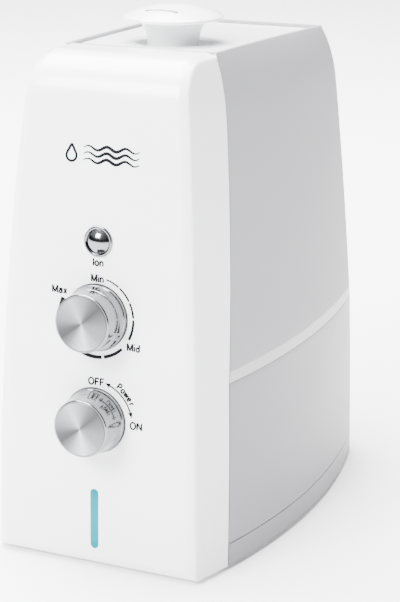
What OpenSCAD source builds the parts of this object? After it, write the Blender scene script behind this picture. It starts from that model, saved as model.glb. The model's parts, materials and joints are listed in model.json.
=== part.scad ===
// Ultrasonic cool mist humidifier: a full-height front cover with its controls, a base with the
// water basin and electronics, and a lift-off water tank with a turning mist nozzle.
// Millimetres. +Z up, the front faces -Y, and the origin is the centre of the footprint.
// Shapes are written in body coordinates: y = 0 at the front cover's bottom edge and
// u = height above the shells' bottom edge. place() moves them into the part's frame.

/* [Body] */
// Depth of the body, front cover to rear wall
body_d = 266; // [250:1:300]
// Height of the body above the bottom edge of its shells
body_h = 315; // [290:1:345]
// Half-width of the front face at its bottom edge
front_half_w = 68; // [60:1:76]
// Plan radius of the bulging sides
side_r = 415; // [380:1:520]
// Wall thickness of the shells
wall = 2.5; // [2:0.1:3]
// Seam between two neighbouring shells
seam_gap = 0.6; // [0.4:0.1:0.8]
// Height of the rubber feet
foot_h = 3; // [2:0.5:5]

/* [Front cover] */
// Depth of the front cover at the floor
cover_foot_d = 30; // [27:1:36]
// Depth from the front edge to the tank joint, at the tank seam
cover_seam_d = 39.5; // [36:0.5:44]
// The same at the top of the body
cover_top_d = 73.5; // [70:0.5:80]
// Radius of the cover's rounded top
front_r = 28; // [20:1:34]
// Clearance between neighbouring loose pieces
fit = 0.3; // [0.2:0.05:0.4]

/* [Base] */
// Height of the seam under the water tank
seam_h = 118; // [108:1:128]
// Height of the bottom tray
tray_h = 14; // [12:0.5:18]
// Depth of the water basin below the deck
basin_depth = 20; // [18:0.5:24]
// Radius of the rubber feet
foot_r = 9; // [7:0.5:10]

/* [Tank] */
// Height of the solid rim around the tank's floor
rim_h = 7; // [6:0.5:9]
// How much wider the body's rear is than its front, at the top
rear_flare = 13.5; // [8:0.5:15]
// How far the sides draw in at the rear top edge
crown_in = 11.5; // [6:0.5:13]
// Height over which they draw in
crown_drop = 45; // [35:1:60]
// Radius of the rounded rear top edge
rear_r = 19; // [16:1:24]
// Plan radius of the two rear corners
corner_r = 26; // [20:1:30]
// How far the lid lies below the tank's rim
lid_recess = 2; // [1.5:0.1:3]
// Distance of the filler neck behind the nozzle
neck_back = 80; // [74:1:86]
// Outer radius of the filler neck
neck_r = 24; // [22:0.5:26]

/* [Nozzle] */
// Distance of the mist nozzle behind the front edge
nozzle_y = 125; // [118:1:132]
// Radius of the nozzle's round top
head_r = 32; // [28:0.5:34]
// Radius of the nozzle's stem
stem_r = 16.5; // [15:0.5:18]
// Height of the nozzle top's rim above the body's highest point
head_rise = 13; // [11:0.5:16]
// Height of the nozzle's dome
dome_h = 7.5; // [6:0.5:9]
// Radius of the well that the nozzle stands in
well_r = 24; // [22:0.5:26]
// Depth of that well
well_depth = 20; // [17:0.5:22]
// Length of the mist slot
slot_len = 23; // [16:1:26]

/* [Controls] */
// Height of the power knob
power_u = 95.5; // [88:0.5:100]
// Height of the mist level knob
level_u = 160.5; // [152:0.5:168]
// Height of the ioniser button
ion_u = 207; // [200:1:216]
// Height of the middle of the light
light_u = 30.5; // [28:0.5:36]
// Radius of a knob's skirt
skirt_r = 20.5; // [20:0.5:24]
// Radius of a knob's face
face_r = 18; // [16:0.5:19]
// How far a knob stands out from the panel
knob_h = 20; // [17:0.5:23]
// Radius of the ioniser button
ion_r = 7.4; // [6:0.2:8]
// Travel of the ioniser button
ion_travel = 1.5; // [1:0.1:2]
// Length of the light
light_len = 40; // [32:1:44]
// Width of the light
light_w = 5.6; // [4:0.2:7]

/* [Hidden] */
$fn = 64;

// Front face: its lean and its edges' taper, as slope and curvature over height.
lean = [0.0268, 0.0002];
taper = [0.0319, 0.0001];
// Top line: its fall towards the rear, as slope and curvature.
fall = [0.0226, 0.00007];
// Where the sides bulge most, and how much of the bulge is left at the tank seam and the top.
bulge_mid = body_d * 0.58;
spread_seam = 0.82;
spread_top = 0.19;
flare_power = 1.35;
crown_power = 2.5;
crown_u = body_h - crown_drop;

// ---- Outline functions -------------------------------------------------------------------

function front_y(u) = lean[0] * u + lean[1] * u * u;
function front_slope(u) = lean[0] + 2 * lean[1] * u;
function front_tilt(u) = atan(front_slope(u));
function front_w(u) = front_half_w - taper[0] * u - taper[1] * u * u;
function bulge(y) = sqrt(side_r ^ 2 - (y - bulge_mid) ^ 2) - sqrt(side_r ^ 2 - bulge_mid ^ 2);
// The sides bulge fully at the floor, and ever less above it.
function spread(u) = lookup(u, [[0, 1], [seam_h, spread_seam], [body_h, spread_top]]);
function flare(u) = rear_flare * (1 - (1 - max(0, min(1, u / body_h))) ^ flare_power);
function corner_cut(y) =
    let(d = min(corner_r, max(0, y - body_d + corner_r))) corner_r - sqrt(corner_r ^ 2 - d ^ 2);
// Draw-in of the sides towards the top: none at the front edge, and full at the rear.
function crown(y, u) =
    crown_in * (1 - (1 - y / body_d) ^ 2) * (max(0, u - crown_u) / crown_drop) ^ crown_power;
function half_w(y, u) = front_w(u) + spread(u) * bulge(min(y, body_d)) + flare(u) * y / body_d
    - corner_cut(y) - crown(y, u);
function joint_y(u) =
    u < seam_h
        ? cover_foot_d + (cover_seam_d - cover_foot_d) * u / seam_h
        : cover_seam_d + (cover_top_d - cover_seam_d) * (u - seam_h) / (body_h - 1 - seam_h);

// Rounded front top: where the front face ends, and the centre of its arc.
round_tilt = front_tilt(body_h - front_r);
round_u = body_h - front_r * (1 - sin(round_tilt));
round_y = front_y(round_u) + front_r * cos(round_tilt);
function top_u(y) = body_h - fall[0] * (y - round_y) - fall[1] * (y - round_y) ^ 2;
rear_round_y = body_d - rear_r;
rear_round_u = top_u(rear_round_y) - rear_r;

// Side outline of the whole body, as (y, u) points.
front_steps = 12;
arc_steps = 9;
top_steps = 8;
profile_points = concat(
    [for (i = [0 : front_steps]) let(u = round_u * i / front_steps) [front_y(u), u]],
    [for (i = [1 : arc_steps]) let(a = 180 - round_tilt - (90 - round_tilt) * i / arc_steps)
        [round_y + front_r * cos(a), body_h - front_r + front_r * sin(a)]],
    [for (i = [1 : top_steps]) let(y = round_y + (rear_round_y - round_y) * i / top_steps)
        [y, top_u(y)]],
    [for (i = [1 : arc_steps]) let(a = 90 - 90 * i / arc_steps)
        [rear_round_y + rear_r * cos(a), rear_round_u + rear_r * sin(a)]],
    [[body_d, 0]]
);

// ---- Building blocks ---------------------------------------------------------------------

// Overshoot of every cut.
over = 4;
tall = body_h + 2 * over;
knob_tilt = front_tilt(power_u);
front_reach = front_y(power_u) - (knob_h + 0.3) * cos(knob_tilt) - face_r * sin(knob_tilt);
inlet_flange = 1.5;
shift_y = -(body_d + inlet_flange + front_reach) / 2;

module place() translate([0, shift_y, foot_h]) children();

// Extrudes a (y, u) outline across the body's width.
module across(w = 240) rotate([90, 0, 90]) linear_extrude(height = w, center = true) children();

// Frame on the front face at height u: +z points out of the panel, and +y runs up it.
module on_front(u) translate([0, front_y(u), u]) rotate([90 - front_tilt(u), 0, 0]) children();

module tube(r_out, r_in, h) difference() {
    cylinder(r = r_out, h = h);
    translate([0, 0, -1]) cylinder(r = r_in, h = h + 2);
}

// Stations of the side skin's grid.
corner_steps = 4;
y_stations = concat(
    [for (i = [-1 : 17]) (body_d - corner_r) * i / 17],
    [for (i = [1 : corner_steps]) body_d - corner_r + corner_r * sin(90 * i / corner_steps)],
    [body_d + over]
);
u_stations = concat(
    [-over, 0, seam_h / 3, seam_h * 2 / 3],
    [for (i = [0 : 6]) seam_h + (crown_u - seam_h) * i / 6],
    [for (i = [1 : 6]) crown_u + crown_drop * i / 6],
    [body_h + over]
);

// Everything between the two bulging sides, set in by inset.
module between_sides(inset = 0) {
    ny = len(y_stations);
    nu = len(u_stations);
    points = [for (s = [-1, 1]) for (u = u_stations) for (y = y_stations)
        [s * (half_w(y, u) - inset), y, u]];
    function at(s, j, i) = (s * nu + j) * ny + i;
    function quad(a, b, c, d) = [[a, b, c], [a, c, d]];
    faces = [for (f = concat(
        [for (j = [0 : nu - 2]) for (i = [0 : ny - 2])
            each quad(at(0, j, i), at(0, j, i + 1), at(0, j + 1, i + 1), at(0, j + 1, i))],
        [for (j = [0 : nu - 2]) for (i = [0 : ny - 2])
            each quad(at(1, j, i), at(1, j + 1, i), at(1, j + 1, i + 1), at(1, j, i + 1))],
        [for (i = [0 : ny - 2])
            each quad(at(0, 0, i), at(1, 0, i), at(1, 0, i + 1), at(0, 0, i + 1))],
        [for (i = [0 : ny - 2])
            each quad(at(0, nu - 1, i), at(0, nu - 1, i + 1), at(1, nu - 1, i + 1), at(1, nu - 1, i))],
        [for (j = [0 : nu - 2])
            each quad(at(0, j, 0), at(0, j + 1, 0), at(1, j + 1, 0), at(1, j, 0))],
        [for (j = [0 : nu - 2])
            each quad(at(0, j, ny - 1), at(1, j, ny - 1), at(1, j + 1, ny - 1), at(0, j + 1, ny - 1))]
    )) f];
    polyhedron(points, faces, convexity = 6);
}

module profile() polygon(profile_points);

// Part of the body between two heights, from the joint plane (plus a set-back) to the rear.
module behind_joint(u0, u1, back = 0) polygon(concat(
    [for (u = u0 < seam_h && u1 > seam_h ? [u0, seam_h, u1] : [u0, u1]) [joint_y(u) + back, u]],
    [[body_d, u1], [body_d, u0]]
));

// Part of the body in front of the joint plane.
module before_joint(back = 0) polygon([
    [-over, -over], [-over, tall], [joint_y(tall) - back, tall],
    [cover_seam_d - back, seam_h], [joint_y(-over) - back, -over],
]);

module body_part(inset = 0) intersection() {
    between_sides(inset);
    across() children();
}

// ---- Front cover -------------------------------------------------------------------------

pot_hole_r = 4.6;
ion_hole_r = ion_r + 1.2;
lens_lip = 1.2;

// Slot outline of width w and length h, along y.
module stadium(w, h) {
    square([w, h - w], center = true);
    for (s = [-1, 1]) translate([0, s * (h - w) / 2]) circle(d = w);
}

module front_cover() place() color("white") difference() {
    body_part() intersection() {
        profile();
        before_joint();
    }
    body_part(wall) intersection() {
        offset(delta = -wall) profile();
        before_joint(-over);
    }
    for (u = [power_u, level_u])
        on_front(u) cylinder(r = pot_hole_r, h = 4 * wall, center = true);
    on_front(ion_u) cylinder(r = ion_hole_r, h = 4 * wall, center = true);
    on_front(light_u) translate([0, 0, -3 * wall])
        linear_extrude(height = 5 * wall) stadium(light_w, light_len);
}

// Wall behind the cover, which closes it towards the tank.
liner_t = 2;
liner_low = seam_h - basin_depth - 8;
module front_liner() place() color("whitesmoke") body_part(wall + fit) intersection() {
    offset(delta = -wall - fit) profile();
    polygon([
        [joint_y(liner_low) - liner_t - fit, liner_low], [joint_y(liner_low) - fit, liner_low],
        [cover_seam_d - fit, seam_h], [joint_y(tall) - fit, tall],
        [joint_y(tall) - liner_t - fit, tall], [cover_seam_d - liner_t - fit, seam_h],
    ]);
}

// ---- Base --------------------------------------------------------------------------------

inlet_w = 22;
inlet_h = 13;
inlet_u = 40;
inlet_x = -40;
vent_n = 5;
vent_w = 3;
vent_pitch = 7;

module rear_vents() for (i = [0 : vent_n - 1])
    translate([20 + i * vent_pitch, body_d - 10, 34])
        cube([vent_w, 20, 40]);

module base_housing() place() color("whitesmoke") difference() {
    body_part() behind_joint(tray_h + seam_gap, seam_h, seam_gap);
    body_part(wall) polygon([
        [cover_foot_d - 10, tray_h - over], [cover_foot_d - 10, seam_h + over],
        [body_d - wall, seam_h + over], [body_d - wall, tray_h - over],
    ]);
    rear_vents();
    translate([inlet_x, body_d, inlet_u]) cube([inlet_w, 20, inlet_h], center = true);
}

foot_x = 52;
foot_front_y = cover_foot_d + 22;
foot_rear_y = body_d - 32;
screw_in = 24;
screw_r = 1.9;
head_r2 = 3.4;
boss_r = 5;
boss_h = 8;
tray_floor = 2.5;
grille_n = 9;

// Places its children at the four feet, or the four screws beside them.
module at_feet(dx = 0) for (sx = [-1, 1]) for (y = [foot_front_y, foot_rear_y])
    translate([sx * (foot_x - dx), y, 0]) children();

module bottom_tray() place() color("whitesmoke") difference() {
    union() {
        difference() {
            body_part() behind_joint(0, tray_h, seam_gap);
            body_part(wall) polygon([
                [joint_y(0) + seam_gap + wall, tray_floor], [joint_y(0) + seam_gap + wall, tall],
                [body_d - wall, tall], [body_d - wall, tray_floor],
            ]);
        }
        at_feet(screw_in) translate([0, 0, 1]) cylinder(r = boss_r, h = boss_h);
        for (x = [-40, 40]) for (y = [4, board_d - 4])
            translate([x, board_y + y, 1]) cylinder(r = 3, h = board_u - 1);
    }
    at_feet(screw_in) translate([0, 0, -1]) cylinder(r = screw_r + 0.2, h = boss_h + 4);
    at_feet(screw_in) translate([0, 0, -1]) cylinder(r = head_r2 + 0.3, h = 3);
    for (i = [0 : grille_n - 1])
        translate([-fan_x - 24 + i * 6, fan_y - 22, -1]) cube([3, 44, tray_floor + 2]);
}

module feet() place() color("dimgray") at_feet() translate([0, 0, -foot_h])
    cylinder(r1 = foot_r - 1, r2 = foot_r, h = foot_h);

module tray_screws() place() color("silver") at_feet(screw_in) translate([0, 0, 0.2]) {
    difference() {
        cylinder(r = head_r2, h = 1.8);
        translate([0, 0, -0.5]) cube([1, 4.4, 2], center = true);
        translate([0, 0, -0.5]) cube([4.4, 1, 2], center = true);
    }
    translate([0, 0, 1.7]) cylinder(r = screw_r, h = boss_h + 10);
}

// The basin: a deck under the tank, with a sunken tub for the water.
deck_t = 2.5;
deck_u = seam_h - 2;
tub_u = deck_u - basin_depth;
tub_half_w = 54;
tub_front = nozzle_y - 52;
neck_y = nozzle_y + neck_back;
tub_rear = neck_y + 40;
disc_r = 10;
disc_well_r = 15;
disc_well_depth = 7;
air_x = -36;
air_y = nozzle_y - 30;
air_r = 9;
float_x = 36;
float_y = nozzle_y - 26;
post_r = 2.5;
fan_x = 36;
fan_y = nozzle_y - 30;

module rounded(w, d, r) hull() for (x = [-1, 1]) for (y = [-1, 1])
    translate([x * (w / 2 - r), y * (d / 2 - r)]) circle(r = r);

module tub_outline(grow = 0) translate([0, (tub_front + tub_rear) / 2])
    rounded(2 * (tub_half_w + grow), tub_rear - tub_front + 2 * grow, 12 + grow);

air_low = tub_u - 8;
air_wall = 2;
column_low = boss_h + 1 + fit;
module basin() place() color("white") difference() {
    union() {
        difference() {
            union() {
                body_part(wall + fit) polygon([
                    [joint_y(deck_u) + fit, deck_u - deck_t], [joint_y(deck_u) + fit, deck_u],
                    [body_d - wall - fit, deck_u], [body_d - wall - fit, deck_u - deck_t],
                ]);
                translate([0, 0, tub_u - deck_t]) linear_extrude(height = basin_depth)
                    tub_outline(wall);
                at_feet(screw_in) translate([0, 0, column_low])
                    cylinder(r = boss_r, h = deck_u - deck_t / 2 - column_low);
            }
            translate([0, 0, tub_u]) linear_extrude(height = basin_depth + 1) tub_outline();
        }
        translate([0, nozzle_y, tub_u - disc_well_depth - deck_t])
            cylinder(r = disc_well_r + wall, h = disc_well_depth + deck_t);
        translate([air_x, air_y, air_low]) cylinder(r = air_r + air_wall, h = basin_depth + 4);
        translate([float_x, float_y, tub_u - 1]) cylinder(r = post_r, h = basin_depth - 2);
        translate([0, neck_y, tub_u - 1]) cylinder(r = 4, h = post_top - tub_u + 1);
    }
    translate([0, nozzle_y, tub_u - disc_well_depth]) cylinder(r = disc_well_r, h = 40);
    translate([0, nozzle_y, tub_u - disc_well_depth - 5]) cylinder(r = disc_r - 2, h = 10);
    translate([air_x, air_y, air_low - 1]) cylinder(r = air_r, h = 40);
    at_feet(screw_in) translate([0, 0, boss_h]) cylinder(r = screw_r + 0.05, h = 16);
}

// Mist maker: a vibrating disc in a rubber seal, held by a screwed ring.
module mist_disc() place() color("silver")
    translate([0, nozzle_y, tub_u - disc_well_depth + 1]) cylinder(r = disc_r, h = 1.2);

module disc_seal() place() color("dimgray")
    translate([0, nozzle_y, tub_u - disc_well_depth]) difference() {
        cylinder(r = disc_r + 2.5, h = 3.2);
        translate([0, 0, 1]) cylinder(r = disc_r, h = 1.2);
        translate([0, 0, -1]) cylinder(r = disc_r - 2, h = 6);
    }

module disc_ring() place() color("silver")
    translate([0, nozzle_y, tub_u - disc_well_depth + 3.2]) difference() {
        tube(disc_well_r - fit, disc_r - 1.5, 2);
        for (a = [45 : 90 : 315]) rotate(a) translate([disc_r + 1.5, 0, -1]) cylinder(r = 1, h = 4);
    }

float_h = 8;
float_travel = 8;
module float() place() color("gainsboro")
    translate([float_x, float_y, tub_u + 0.5]) tube(9, post_r + 0.4, float_h);

module float_clip() place() color("silver")
    translate([float_x, float_y, tub_u + basin_depth - 3]) cylinder(r = 4.5, h = 1.5);

// ---- Electronics -------------------------------------------------------------------------

board_t = 1.6;
board_in = 17;
board_low = 62;
board_high = level_u + 24;
board_mid = (board_low + board_high) / 2;
module on_board() on_front(board_mid) translate([0, 0, -board_in]) children();

module control_board() place() color("darkgreen") difference() {
    on_board() translate([-30, board_low - board_mid, -board_t])
        cube([60, board_high - board_low, board_t]);
    for (u = [power_u, level_u])
        on_front(u) translate([0, 0, -30]) cylinder(r = 5.5, h = 30);
}

// A panel-mounted rotary part: case, threaded bushing and nut, with a bore for its shaft.
shaft_r = 3;
bush_r = 4.3;
case_depth = 12;
module rotary_case(w) difference() {
    union() {
        translate([-w / 2, -w / 2, -wall - case_depth]) cube([w, w, case_depth - 0.5]);
        translate([0, 0, -wall - 1]) cylinder(r = bush_r, h = wall + 4);
        translate([0, 0, 0.05]) cylinder(r = 6.8, h = 2, $fn = 6);
    }
    translate([0, 0, -wall - case_depth - 1]) cylinder(r = shaft_r + 0.05, h = 40);
}

module rotary_shaft() translate([0, 0, -wall - case_depth]) cylinder(r = shaft_r, h = case_depth + 15);

// A knob: a flared, plated body on its shaft, and a turned disc let into its face.
face_in = 0.8;
knob_sweep = skirt_r - face_r - 0.6;
module knob() difference() {
    rotate_extrude() polygon(concat(
        [[0, 1], [skirt_r - 1, 1]],
        [for (a = [-60 : 30 : 90]) [skirt_r - 1.6 + 1.6 * cos(a), 2.6 + 1.6 * sin(a)]],
        [for (a = [0 : 15 : 75]) [skirt_r - 2.2 - knob_sweep * sin(a), 4.3 + knob_sweep * (1 - cos(a))]],
        [[face_r - 1.2, 9.5], [face_r - 0.6, knob_h - 3]],
        [for (a = [0 : 30 : 90]) [face_r - 0.8 + 0.8 * cos(a), knob_h - 0.8 + 0.8 * sin(a)]],
        [[0, knob_h]]
    ));
    translate([0, 0, knob_h - face_in]) cylinder(r = face_r - 1.1, h = 3);
    translate([0, 0, -1]) cylinder(r = shaft_r + 0.02, h = 13.7);
    translate([0, 0, -1]) cylinder(r = 8, h = 4.5);
}

module knob_face() translate([0, 0, knob_h - face_in]) difference() {
    cylinder(r = face_r - 1.2, h = face_in + 0.3);
    translate([0, face_r - 4.6, face_in]) linear_extrude(height = 1) square([0.9, 3.4], center = true);
}

// Rest angles, clockwise from the top: the power knob at on, the level knob past the middle.
power_angle = -97;
level_angle = -150;

module level_pot() place() color("slategray") on_front(level_u) rotary_case(16);
module level_shaft() place() color("silver") on_front(level_u) rotary_shaft();
module level_knob() place() color("silver") on_front(level_u) rotate(level_angle) knob();
module level_face() place() color("lightgray") on_front(level_u) rotate(level_angle) knob_face();
module power_switch() place() color("slategray") on_front(power_u) rotary_case(20);
module power_shaft() place() color("silver") on_front(power_u) rotary_shaft();
module power_knob() place() color("silver") on_front(power_u) rotate(power_angle) knob();
module power_face() place() color("lightgray") on_front(power_u) rotate(power_angle) knob_face();

// Ioniser button in its bezel, with a spring and a switch behind it.
button_rise = 3;
button_skirt = 6;
dome_r = (ion_r ^ 2 + button_rise ^ 2) / (2 * button_rise);
module ion_bezel() place() color("silver") on_front(ion_u) rotate_extrude() polygon(concat(
    [[ion_r + 0.15, -wall - 4], [ion_hole_r - 0.1, -wall - 4], [ion_hole_r - 0.1, 0.05]],
    [[ion_hole_r + 0.9, 0.05]],
    [for (a = [0 : 30 : 150]) [ion_r + 1.1 + cos(a), 0.5 + 0.9 * sin(a)]],
    [[ion_r + 0.15, 0.4]]
));

module ion_button() place() color("silver") on_front(ion_u) difference() {
    union() {
        translate([0, 0, -button_skirt]) cylinder(r = ion_r, h = button_skirt + 0.6);
        intersection() {
            translate([0, 0, 0.6 + button_rise - dome_r]) sphere(r = dome_r);
            translate([0, 0, 0.5]) cylinder(r = ion_r, h = 10);
        }
    }
    translate([0, 0, -button_skirt - 1]) tube(ion_r - 1.4, 2, button_skirt);
}

switch_in = button_skirt + 5;
ion_coils = 4;
ion_wire_r = 0.35;
ion_spring_low = -switch_in + ion_wire_r + 0.05;
ion_pitch = (-1.05 - ion_wire_r - ion_spring_low) / (ion_coils - 1);
module ion_spring() place() color("silver") on_front(ion_u) translate([0, 0, ion_spring_low]) {
    for (i = [0 : ion_coils - 1]) translate([0, 0, i * ion_pitch]) rotate_extrude()
        translate([3.4, 0]) circle(r = ion_wire_r, $fn = 16);
    for (i = [0 : ion_coils - 2]) rotate(i * 120) translate([3.4, 0, i * ion_pitch])
        cylinder(r = ion_wire_r - 0.05, h = ion_pitch);
}

module ion_switch() place() color("dimgray") on_front(ion_u) translate([0, 0, -switch_in]) {
    translate([-6, -6, -5]) cube([12, 12, 5]);
    cylinder(r = 1.6, h = switch_in - button_skirt - ion_travel - 0.3);
    translate([-12, -9, -5 - board_t]) cube([24, 18, board_t]);
}

module light_lens() place() color("cyan") on_front(light_u) {
    translate([0, 0, -wall - 0.2]) linear_extrude(height = wall + 0.5)
        stadium(light_w - 0.3, light_len - 0.3);
    translate([0, 0, -wall - 2.2]) linear_extrude(height = 2)
        stadium(light_w + 2 * lens_lip, light_len + 2 * lens_lip);
}

module light_board() place() color("darkgreen") on_front(light_u) translate([0, 0, -wall - 8]) {
    translate([-8, -light_len / 2 - 4, -board_t]) cube([16, light_len + 8, board_t]);
    for (i = [-1 : 1]) translate([-1.75, i * 13 - 1.4, -0.5]) cube([3.5, 2.8, 2.4]);
}

module ioniser() place() color("black") on_front(ion_u + 42) translate([-14, -12, -wall - 15]) {
    cube([28, 24, 12]);
    translate([14, 12, 11]) cylinder(r = 1.2, h = 3.5);
}

board_y = nozzle_y + 22;
board_d = 44;
board_u = tray_floor + 8;
module power_board() place() color("darkgreen")
    translate([-46, board_y, board_u]) cube([92, board_d, board_t]);

board_top = board_u + board_t;
module transformer() place() color("goldenrod") translate([8, board_y + 5, board_top]) {
    cube([34, 30, 26]);
    translate([4, -3, 4]) cube([26, 36, 18]);
}

module heat_sink() place() color("silver") translate([-42, board_y + 6, board_top]) {
    cube([26, 3, 26]);
    for (i = [0 : 5]) translate([i * 4.8, 0, 0]) cube([2, 12, 26]);
}

// Mains inlet: a two-pin appliance socket in the rear wall.
inlet_len = 18;
module power_inlet() place() color("black")
    translate([inlet_x, body_d, inlet_u]) rotate([90, 0, 0]) {
        difference() {
            union() {
                translate([-inlet_w / 2 + fit, -inlet_h / 2 + fit, 0])
                    cube([inlet_w - 2 * fit, inlet_h - 2 * fit, inlet_len]);
                translate([-inlet_w / 2 - 2, -inlet_h / 2 - 2, -inlet_flange])
                    cube([inlet_w + 4, inlet_h + 4, inlet_flange]);
            }
            translate([0, 0, -2]) linear_extrude(height = inlet_len - 2)
                rotate(90) stadium(9, 16);
        }
        for (s = [-1, 1]) translate([s * 3.6, 0, 4]) cylinder(r = 1.2, h = inlet_len - 5);
    }

fan_u = tray_floor + 0.2;
fan_half = 25;
fan_t = 20;
module fan_housing() place() color("black") translate([air_x, fan_y, fan_u]) difference() {
    translate([-fan_half, -fan_half, 0]) cube([2 * fan_half, 2 * fan_half, fan_t]);
    translate([0, 0, 2]) cylinder(r = fan_half - 2, h = fan_t);
    difference() {
        translate([0, 0, -1]) cylinder(r = fan_half - 3, h = 5);
        translate([0, 0, -2]) cylinder(r = 7, h = 7);
        for (a = [0, 90]) rotate(a) cube([60, 4, 20], center = true);
    }
    translate([0, 0, -1]) cylinder(r = 1.6, h = 10);
}

module fan_impeller() place() color("dimgray") translate([air_x, fan_y, fan_u + 2.5]) {
    tube(9, 1.3, fan_t - 5);
    translate([0, 0, -2]) cylinder(r = 1.5, h = fan_t - 4);
    for (a = [0 : 40 : 320]) rotate(a) translate([8.5, -0.8, 0.5]) cube([12.5, 1.6, fan_t - 6]);
}

// Leads the fan's air up into the basin.
fan_top = fan_u + fan_t;
duct_in_r = air_r + air_wall + 0.1;
duct_out_r = duct_in_r + 1.9;
duct_top = tub_u - deck_t - fit;
module air_duct() place() color("dimgray") translate([air_x, air_y, 0]) rotate_extrude() polygon([
    [fan_half - 2, fan_top + 0.1], [fan_half, fan_top + 0.1], [duct_out_r, fan_top + 22],
    [duct_out_r, duct_top], [duct_in_r, duct_top], [duct_in_r, fan_top + 22],
]);

// ---- Water tank --------------------------------------------------------------------------

floor_u = seam_h + seam_gap / 2;
plate_t = 3;
shell_u = floor_u + rim_h + 0.1;
duct_r = 15.5;
duct_bore = 13;
tank_back = seam_gap;
lip = 3;

module tank_floor() place() color("gainsboro") difference() {
    union() {
        difference() {
            body_part() behind_joint(floor_u, floor_u + rim_h, tank_back);
            body_part(wall) polygon([
                [joint_y(floor_u + rim_h) + tank_back + wall, floor_u + plate_t],
                [joint_y(floor_u + rim_h) + tank_back + wall, floor_u + rim_h + 5],
                [body_d - wall, floor_u + rim_h + 5], [body_d - wall, floor_u + plate_t],
            ]);
        }
        translate([0, neck_y, neck_end]) cylinder(r = neck_r, h = floor_u - neck_end + plate_t);
    }
    translate([0, neck_y, neck_end - 1]) cylinder(r = neck_r - 3, h = 40);
    translate([0, nozzle_y, floor_u - 1]) cylinder(r = duct_bore, h = 20);
}

module tank_shell() place() color("lightgray", 0.6) difference() {
    body_part() intersection() {
        profile();
        behind_joint(shell_u, tall, tank_back);
    }
    body_part(wall) intersection() {
        behind_joint(shell_u - over, tall + over, tank_back + wall);
        union() {
            offset(delta = -wall) profile();
            polygon([
                [0, seam_h], [0, tall + over],
                [rear_round_y - lip, tall + over], [rear_round_y - lip, seam_h],
            ]);
        }
    }
}

// Top line shifted down by d, between two places.
module under_top(y0, y1, d0, d1) polygon(concat(
    [for (i = [0 : top_steps]) let(y = y0 + (y1 - y0) * i / top_steps) [y, top_u(y) - d0]],
    [for (i = [top_steps : -1 : 0]) let(y = y0 + (y1 - y0) * i / top_steps) [y, top_u(y) - d1]]
));

lid_t = 2.5;
lid_top = top_u(nozzle_y) - lid_recess;
well_u = lid_top - well_depth;
seat_r = duct_r - 0.2;
module tank_lid() place() color("white") difference() {
    union() {
        body_part(wall + fit) intersection() {
            under_top(cover_seam_d, rear_round_y - lip - fit, lid_recess, lid_recess + lid_t);
            behind_joint(seam_h, tall, tank_back + wall + fit);
        }
        translate([0, nozzle_y, well_u - lid_t]) cylinder(r = well_r + lid_t, h = well_depth + lid_t - 1);
    }
    translate([0, nozzle_y, well_u]) cylinder(r = well_r, h = well_depth + 5);
    translate([0, nozzle_y, well_u - 10]) cylinder(r = duct_bore, h = 30);
}

module mist_duct() place() color("lightgray", 0.6) translate([0, nozzle_y, floor_u + plate_t])
    tube(duct_r, duct_bore, well_u - lid_t - floor_u - plate_t);

// Screw cap with its drip valve, which a post in the basin holds open.
cap_t = 2.5;
cap_r = neck_r + 4;
neck_end = seam_h - 10;
seal_t = 1.2;
cap_u = neck_end - 0.05 - seal_t - cap_t;
stem_valve_r = 2.5;
stem_down = 2.5;
post_top = cap_u - stem_down - 0.1;
grip_n = 24;

module tank_cap() place() color("white") translate([0, neck_y, cap_u]) difference() {
    union() {
        cylinder(r = cap_r - 1.2, h = seam_h - cap_u - 0.6);
        for (i = [0 : grip_n - 1]) rotate(i * 360 / grip_n)
            translate([cap_r - 2.2, -1, 0]) cube([2.2, 2, seam_h - cap_u - 1.6]);
    }
    translate([0, 0, cap_t]) cylinder(r = neck_r + 0.3, h = 40);
    translate([0, 0, -1]) cylinder(r = stem_valve_r + 0.1, h = 10);
    for (a = [0 : 60 : 300]) rotate(a) translate([6, 0, -1]) cylinder(r = 1.8, h = 10);
}

module cap_seal() place() color("dimgray")
    translate([0, neck_y, cap_u + cap_t]) tube(neck_r - 0.2, neck_r - 5, seal_t);

cage_r = 13;
cage_h = 20;
module valve_cage() place() color("white") translate([0, neck_y, cap_u + cap_t]) difference() {
    cylinder(r = cage_r, h = cage_h);
    translate([0, 0, -1]) cylinder(r = cage_r - 1.6, h = cage_h - cage_roof + 1);
    translate([0, 0, -1]) cylinder(r = 2.8, h = cage_h + 5);
    for (a = [0 : 60 : 120]) rotate(a) translate([0, 0, 8]) cube([2 * cage_r + 4, 7, 12], center = true);
}

// The valve is shown shut: its seal lies on the cap, and the spring holds it down.
seat_gap = 0.05;
valve_r = 9.5;
plate_up = 1.5;
plunger_top = cage_h + 3;
module in_cap() place() translate([0, neck_y, cap_u + cap_t]) children();

module valve_plunger() in_cap() color("white") {
    translate([0, 0, -cap_t - stem_down])
        cylinder(r = stem_valve_r, h = cap_t + stem_down + plunger_top);
    translate([0, 0, seat_gap + plate_up]) cylinder(r = valve_r, h = plate_up);
}

module valve_seal() in_cap() color("dimgray")
    translate([0, 0, seat_gap]) tube(valve_r, stem_valve_r, plate_up);

coils = 5;
wire_r = 0.5;
spring_low = seat_gap + 2 * plate_up + wire_r + 0.05;
cage_roof = 2;
spring_pitch = (cage_h - cage_roof - wire_r - 0.1 - spring_low) / (coils - 1);
module valve_spring() in_cap() color("silver") translate([0, 0, spring_low]) {
    for (i = [0 : coils - 1]) translate([0, 0, i * spring_pitch]) rotate_extrude()
        translate([5, 0]) circle(r = wire_r, $fn = 16);
    for (i = [0 : coils - 2]) rotate(i * 120) translate([5, 0, i * spring_pitch])
        cylinder(r = wire_r - 0.1, h = spring_pitch);
}

// ---- Mist nozzle -------------------------------------------------------------------------

rim_u = body_h + head_rise;
rim_t = 2;
insert_r = duct_bore - 0.3;
flange_t = 2;
stem_base = well_u + flange_t + 0.1;
flare_u = rim_u - rim_t - 9;

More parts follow.
